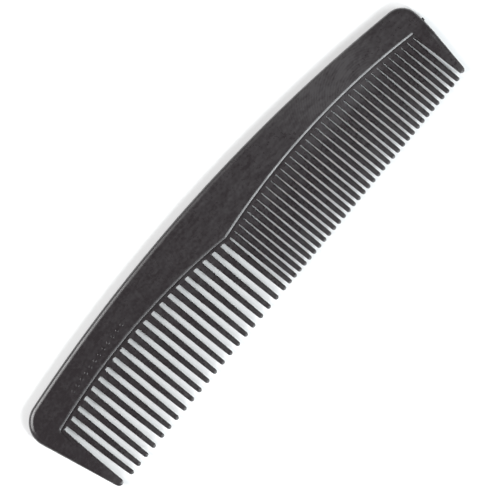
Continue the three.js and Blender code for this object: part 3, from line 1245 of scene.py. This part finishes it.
def pip_tree():
    """Geometry tree that repeats a pip along an arc on the face."""
    tree, graph, pip, given = group_with("comb_pip_row", PIP_INPUTS)
    line = line_of_points(graph, given)
    x, _, _ = graph.split(graph.add("GeometryNodeInputPosition"))
    height = given["Face height"]
    place = graph.add("ShaderNodeCombineXYZ", {}, {"X": x, "Y": arc_at(x, given), "Z": height})
    line = graph.add("GeometryNodeSetPosition", {}, {"Geometry": line, "Position": place})
    row = graph.add("GeometryNodeInstanceOnPoints", {}, {"Points": line, "Instance": pip})
    row = graph.add("GeometryNodeRealizeInstances", {}, {"Geometry": row})
    row = graph.add("GeometryNodeSetMaterial", {}, {"Geometry": row, "Material": given["Material"]})
    graph.add("NodeGroupOutput", {}, {"Geometry": row})
    return tree


class COMB_OT_pips(bpy.types.Operator):
    """Build the row of small raised pips on the face"""

    bl_idname = "comb.pips"
    bl_label = "Row of pips"

    def execute(self, context):
        sizes = context.scene.comb_details
        spine = context.scene.comb_spine
        turns = [2 * math.pi * i / PIP_SIDES for i in range(PIP_SIDES)]
        rings = []
        for t in steps(PIP_RINGS):
            a = math.radians(PIP_DOME_DEGREES * t)
            radius, height = sizes.pip_radius * math.cos(a), sizes.pip_height * math.sin(a)
            rings.append([(radius * math.cos(b), radius * math.sin(b), height) for b in turns])
        rings.insert(0, [(x, y, -SEAM) for x, y, _ in rings[0]])
        pip = to_mesh(solid(rings), "pip_cell", PIP_SHARP_DEGREES)
        inset = sizes.pip_inset
        arc = (spine.back_crest_x, BACK_CREST - inset, spine.back_radius - inset)
        values = row_values(sizes.pip_count, sizes.pip_start, sizes.pip_pitch, arc)
        values["Face height"] = MID_Z + FACE
        mesh = grown(pip, pip_tree(), values, "face_pips")
        bpy.data.meshes.remove(pip)
        mesh.shade_smooth()
        finished("face_pips", mesh, [])
        return {"FINISHED"}


# ---- Stage -----------------------------------------------------------------------------------


def softbox(name, azimuth, elevation, size, radiance, target):
    """A rectangular light at an azimuth and an elevation from the target, and aimed at it."""
    data = bpy.data.lights.new(name, "AREA")
    data.shape = "RECTANGLE"
    data.size, data.size_y = size
    data.energy = radiance * math.pi * size[0] * size[1]
    light = placed(name, data)
    turn, lift = math.radians(azimuth), math.radians(elevation)
    away = Vector(
        (math.cos(turn) * math.cos(lift), math.sin(turn) * math.cos(lift), math.sin(lift))
    )
    light.location = target + away * SOFTBOX_DISTANCE
    light.rotation_euler = (-away).to_track_quat("-Z", "Y").to_euler()
    light.visible_camera = False
    return light


def floor_material(look):
    material, graph = empty_material("pale_floor")
    shader = graph.add("ShaderNodeBsdfDiffuse", {}, {"Color": (*look.floor, 1)})
    graph.add("ShaderNodeOutputMaterial", {}, {"Surface": shader})
    return material


class COMB_OT_stage(bpy.types.Operator):
    """Build the floor, the lights and the camera"""

    bl_idname = "comb.stage"
    bl_label = "Stage"

    def execute(self, context):
        scene = context.scene
        look = scene.comb_stage
        bm = bmesh.new()
        corners = [(-FLOOR_HALF, -FLOOR_HALF, 0), (FLOOR_HALF, -FLOOR_HALF, 0)]
        corners += [(FLOOR_HALF, FLOOR_HALF, 0), (-FLOOR_HALF, FLOOR_HALF, 0)]
        bm.faces.new([bm.verts.new(corner) for corner in corners])
        mesh = bpy.data.meshes.new("floor")
        bm.to_mesh(mesh)
        bm.free()
        mesh.materials.append(floor_material(look))
        floor = placed("floor", mesh)

        target = Vector(VIEW_CENTRE)
        turn = math.degrees(look.turn)
        for name, azimuth, lift, width, height, group, part in SOFTBOXES:
            radiance = getattr(look, group) * part
            light = softbox(name, azimuth - turn, lift, (width, height), radiance, target)
            light.data.color = look.tint if group == "key" else WHITE
        world = bpy.data.worlds.new("studio")
        world.use_nodes = True
        background = world.node_tree.nodes["Background"]
        background.inputs["Color"].default_value = (*WHITE, 1)
        background.inputs["Strength"].default_value = look.sky
        scene.world = world

        data = bpy.data.cameras.new("camera")
        data.sensor_width = SENSOR_WIDTH
        data.lens = data.sensor_width * look.camera_height / look.view_width
        camera = placed("camera", data)
        camera.location = target + Vector((0, 0, look.camera_height))
        camera.rotation_euler = (0, 0, -look.turn)
        scene.camera = camera
        scene.view_settings.view_transform = "Standard"
        return {"FINISHED"}


# ---- Add-on ----------------------------------------------------------------------------------

OPERATORS = (
    COMB_OT_spine,
    COMB_OT_guards,
    COMB_OT_teeth,
    COMB_OT_gate_stub,
    COMB_OT_pips,
    COMB_OT_stage,
)

SETTINGS = {
    "comb_spine": CombSpineSizes,
    "comb_coarse_teeth": CombToothSizes,
    "comb_fine_teeth": CombToothSizes,
    "comb_plastic": CombPlasticLook,
    "comb_details": CombDetailSizes,
    "comb_stage": CombStageLook,
}


class COMB_PT_panel(bpy.types.Panel):
    """Lists the comb's pieces"""

    bl_label = "Dressing comb"
    bl_idname = "COMB_PT_panel"
    bl_space_type = "VIEW_3D"
    bl_region_type = "UI"
    bl_category = "Comb"

    def draw(self, context):
        for operator in OPERATORS:
            self.layout.operator(operator.bl_idname)
        for name in SETTINGS:
            box = self.layout.box()
            group = getattr(context.scene, name)
            for key in group.bl_rna.properties.keys():
                if key not in {"rna_type", "name"}:
                    box.prop(group, key)


def register():
    for group in dict.fromkeys(SETTINGS.values()):
        bpy.utils.register_class(group)
    for operator in OPERATORS:
        bpy.utils.register_class(operator)
    bpy.utils.register_class(COMB_PT_panel)
    for name, group in SETTINGS.items():
        setattr(bpy.types.Scene, name, PointerProperty(type=group))


def unregister():
    for name in SETTINGS:
        delattr(bpy.types.Scene, name)
    bpy.utils.unregister_class(COMB_PT_panel)
    for operator in reversed(OPERATORS):
        bpy.utils.unregister_class(operator)
    for group in dict.fromkeys(SETTINGS.values()):
        bpy.utils.unregister_class(group)


def main():
    register()
    scene = bpy.context.scene
    fields = ((scene.comb_coarse_teeth, COARSE_TEETH), (scene.comb_fine_teeth, FINE_TEETH))
    for settings, own in fields:
        for name, millimetres in own.items():
            setattr(settings, name, millimetres * MM)
    for operator in OPERATORS:
        group, name = operator.bl_idname.split(".")
        getattr(getattr(bpy.ops, group), name)()


if __name__ == "__main__":
    main()
